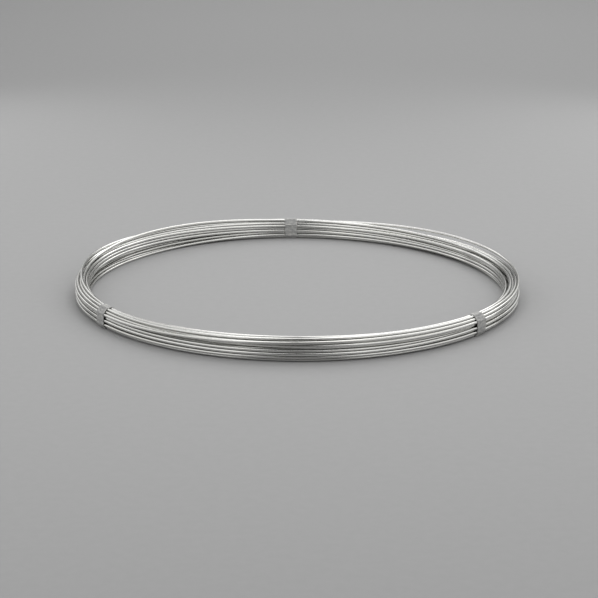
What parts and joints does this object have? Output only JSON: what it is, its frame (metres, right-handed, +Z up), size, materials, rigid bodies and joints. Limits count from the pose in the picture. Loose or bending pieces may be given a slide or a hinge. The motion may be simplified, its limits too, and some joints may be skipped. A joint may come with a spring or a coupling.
{
  "type": "wire coil",
  "caption": "Flat ring of bright stainless steel wire wound in many turns and bound by bands of grey tape, as bulk wire is sold, stored and paid off.",
  "frame": {"origin": "on the ring's axis, level with the bands' undersides, which is the floor", "axes": "+Z up along the ring's axis, +Y from the front of the ring to the band at the back, +X to the right"},
  "size_m": [0.6004, 0.6009, 0.0275],
  "materials": {
    "stainless_wire": "bright cold drawn, fine lines along the wire",
    "binding_tape": "satin grey plastic film tape"
  },
  "bodies": {
    "root": {"wire_coil": "stainless_wire", "tape_back": "binding_tape", "tape_left": "binding_tape", "tape_right": "binding_tape"}
  },
  "joints": []
}
